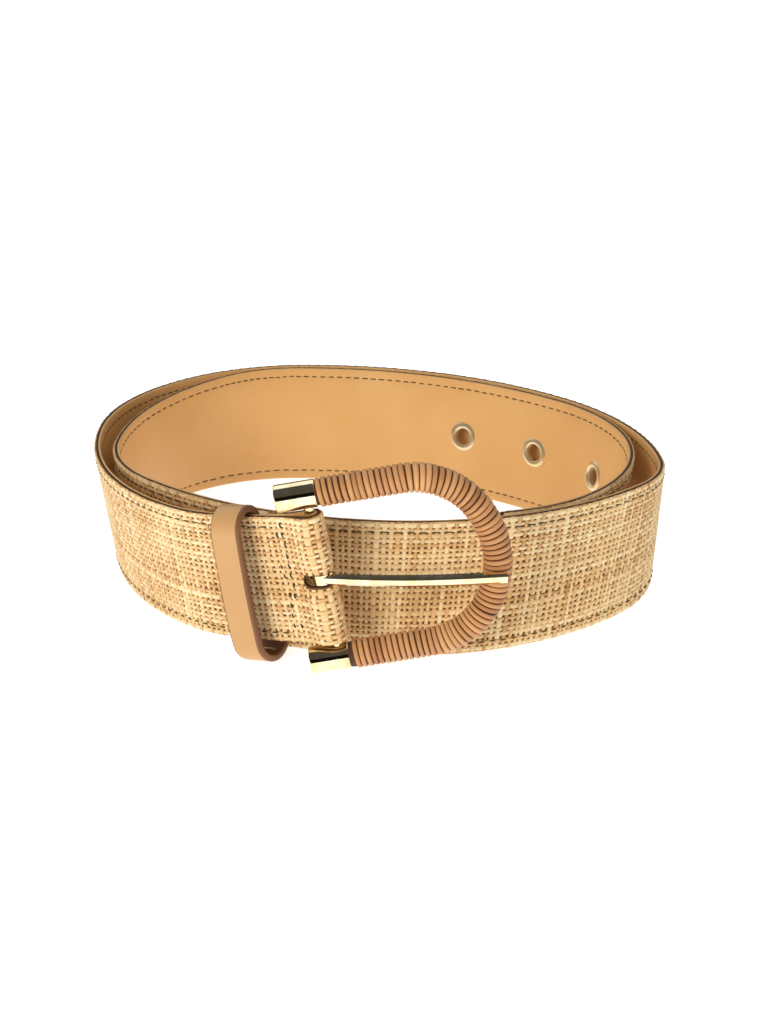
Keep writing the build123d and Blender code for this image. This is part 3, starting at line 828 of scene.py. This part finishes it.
def staple():
    """The wire staple that closes the band, along its inner side at the bottom."""
    path, way = keeper_path()
    k = int(np.argmax(path[:, 1])) + 1
    t = np.array([0.0, 0.0, 0.3, 1, 3, 4, 4.7, 5, 5.0])
    sink = np.array([-0.8, -0.1, 0.25, 0.3, 0.3, 0.3, 0.25, -0.1, -0.8])
    inner = path[k] - way[k] * (KEEPER_THICK / 2 + sink)[:, None]
    points = keeper_point(inner) + (t - 2.5)[:, None] * keeper_heading
    pile = Pile()
    a = np.linspace(0, 2 * math.pi, 9)[:-1]
    pile.grid(ring_points(points * MM, np.full(len(t), 0.4), a), wrap_columns=True)
    return pile.build("keeper_wire", "gold", "keeper", ["gold_satin"])


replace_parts(staple(), "keeper_staple")
keeper_band = keeper()
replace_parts(keeper_band, "keeper_loop")


# ---------------------------------------------------------------- eyelets
EYELET_SCALE = 1.04


def eyelet(index, s0):
    """A rolled metal eyelet: a barrel with a domed flange on the face and a domed ring on the lining."""
    origin, along, up, out = station(s0)
    # Radius and rise round the section, from the barrel over the flange, down the seat and over the ring
    flange = [(3.25, 0.0), (3.25, 1.1), (3.5, 1.42), (4.2, 1.6), (4.9, 1.52), (5.5, 1.25), (5.75, 0.98)]
    seat = [(5.6, 0.95), (3.7, 0.9), (3.7, -0.9), (5.6, -0.95)]
    ring = [(5.75, -1.05), (5.45, -1.4), (4.8, -1.72), (4.1, -1.8), (3.5, -1.6), (3.25, -1.2)]
    profile = np.array(flange + seat + ring) * (EYELET_SCALE, 1.0)
    a = np.linspace(0, 2 * math.pi, 41)[:-1]
    radial = np.cos(a)[:, None] * along + np.sin(a)[:, None] * up
    points = origin + radial[:, None] * profile[None, :, :1] + out * profile[None, :, 1:]
    pile = Pile()
    pile.grid(points * MM, wrap_rows=True, wrap_columns=True)
    return pile.build(f"eyelet_ring_{index}", "gold", "strap", ["gold_satin"])


for i, s0 in enumerate(EYELET_S, 1):
    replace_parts(eyelet(i, s0), f"eyelet_{i}", f"eyelet_washer_{i}")


# ---------------------------------------------------------------- fold: slot rim and double seam
RIM_R, RIM_RISE, RIM_START = 0.3, 0.6, -2.5


def slot_rim():
    """Rolled edge of the lining round the front end of the prong's slot."""
    t = np.linspace(-math.pi / 2, math.pi / 2, 25)
    rim_half = SLOT_HALF + RIM_R
    s = SLOT_REACH - SLOT_HALF + rim_half * np.cos(t)
    v = HALF + rim_half * np.sin(t)
    s = np.concatenate([np.linspace(RIM_START, s[0], 8)[:-1], s, np.linspace(s[-1], RIM_START, 8)[1:]])
    v = np.concatenate([np.full(7, v[0]), v, np.full(7, v[-1])])
    a = np.linspace(0, 2 * math.pi, 9)[:-1]
    pile = Pile()
    path = strap(s, v, RIM_RISE + face_relief(s, v))
    pile.grid(ring_points(path, np.full(len(s), RIM_R), a), wrap_columns=True)
    return pile.build("slot_edge", "core", "strap", ["keeper_edge"])


BURIED = 0.25
FOLD_STITCH_PITCH, FOLD_STITCH, FOLD_STITCH_R = 3.6, 2.0, 0.36


def fold_seam(name, places, low, rise, node_name):
    """Short stitches across the strap, in two rows that close the fold, with some buried in the weave."""
    pile = Pile()
    for s0 in places:
        for v0 in np.arange(low, WIDTH - low, FOLD_STITCH_PITCH):
            if rng.random() < BURIED:
                continue
            v = v0 + rng.normal(0, 0.2) + FOLD_STITCH * STITCH_T
            s = s0 + rng.normal(0, 0.2) + 0.3 * STITCH_T
            n = rise + np.sign(rise) * 0.4 * (STITCH_BODY - 1) + face_relief(s, v)
            ring = ring_points(strap(s, v, n), FOLD_STITCH_R * STITCH_BODY, STITCH_ROUND)
            pile.grid(ring, wrap_columns=True)
    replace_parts(pile.build(name, "thread", "strap", ["thread"]), node_name)


slot_rim()
fold_seam("fold_stitches_front", (9.4, 11.8), 2.6, 1.05, "fold_seam_front")
fold_seam("fold_stitches_back", (S_START + 3.6, S_START + 5.5), 2.6, 1.16, "fold_seam_back")

# ---------------------------------------------------------------- CAD pieces that stay
for name, mat in (
    ("buckle_bar", "gold"), ("frame_core", "gold"), ("cap_upper", "gold"), ("cap_lower", "gold"),
    ("prong", "gold"), ("strap_core", "core"),
):
    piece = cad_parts[name]
    piece.data.materials.clear()
    piece.data.materials.append(MATERIALS[mat])


# ---------------------------------------------------------------- floor, light and camera
def add_floor():
    mesh = bpy.data.meshes.new("floor")
    size = 3.0
    corners = [(-size, -size, 0), (size, -size, 0), (size, size, 0), (-size, size, 0)]
    mesh.from_pydata(corners, [], [(0, 1, 2, 3)])
    floor = bpy.data.objects.new("floor", mesh)
    bpy.context.scene.collection.objects.link(floor)
    mat, _, shader = material("floor", (0.8, 0.8, 0.8), 0.8)
    shader.inputs["Emission Color"].default_value = (1, 1, 1, 1)
    shader.inputs["Emission Strength"].default_value = 0.75
    mesh.materials.append(mat)


def area_light(name, place_at, aim, size, power):
    data = bpy.data.lights.new(name, "AREA")
    data.shape, data.size, data.energy = "DISK", size, power
    light = bpy.data.objects.new(name, data)
    light.location = place_at
    light.rotation_euler = (Vector(aim) - Vector(place_at)).to_track_quat("-Z", "Y").to_euler()
    light.visible_glossy = False
    bpy.context.scene.collection.objects.link(light)


def world_light():
    """A dark studio with one bright panel high up behind the belt, for the metal, on a white ground."""
    world = bpy.data.worlds.new("studio")
    bpy.context.scene.world = world
    world.use_nodes = True
    tree = world.node_tree
    background = tree.nodes["Background"]
    coords = node(tree, "ShaderNodeTexCoord")
    split = node(tree, "ShaderNodeSeparateXYZ")
    tree.links.new(coords.outputs["Generated"], split.inputs[0])
    dark, bright = (0.06, 0.06, 0.06), (1.0, 1.0, 1.0)
    behind = ramp(tree, split.outputs["Y"], [(0.0, dark), (0.22, dark), (0.3, bright), (1.0, bright)])
    high = ramp(tree, split.outputs["Z"], [(0.0, dark), (0.42, dark), (0.5, bright), (1.0, bright)])
    panel = multiply_colors(tree, behind, high)
    tree.links.new(panel, background.inputs["Color"])
    background.inputs["Strength"].default_value = 1.2
    plain = node(tree, "ShaderNodeBackground", Color=(1, 1, 1, 1), Strength=1.0)
    seen = node(tree, "ShaderNodeLightPath")
    mix = node(tree, "ShaderNodeMixShader")
    tree.links.new(seen.outputs["Is Camera Ray"], mix.inputs["Fac"])
    tree.links.new(background.outputs[0], mix.inputs[1])
    tree.links.new(plain.outputs[0], mix.inputs[2])
    tree.links.new(mix.outputs[0], tree.nodes["World Output"].inputs["Surface"])


def sun_light(name, aim_from, strength, angle):
    data = bpy.data.lights.new(name, "SUN")
    data.energy, data.angle = strength, angle
    light = bpy.data.objects.new(name, data)
    light.rotation_euler = Vector(aim_from).to_track_quat("Z", "Y").to_euler()
    light.visible_glossy = False
    bpy.context.scene.collection.objects.link(light)


def add_camera():
    target = Vector((0.00396, 0.0431, 0.0))
    data = bpy.data.cameras.new("camera")
    data.sensor_fit, data.sensor_width, data.sensor_height, data.lens = "VERTICAL", 36, 36, 56.25
    camera = bpy.data.objects.new("camera", data)
    camera.location = target + Vector((0, -0.6070, 0.2551))
    camera.rotation_euler = (target - camera.location).to_track_quat("-Z", "Y").to_euler()
    bpy.context.scene.collection.objects.link(camera)
    bpy.context.scene.camera = camera


add_floor()
world_light()
area_light("key", (-0.6, -0.95, 0.42), (0, 0, 0.03), 0.5, 7.6)
area_light("fill", (0.85, -0.65, 0.35), (0, 0, 0.03), 0.8, 2.8)
sun_light("sky", (-0.25, -0.45, 1.0), 0.5, 1.4)
add_camera()
bpy.context.scene.view_settings.view_transform = "Standard"
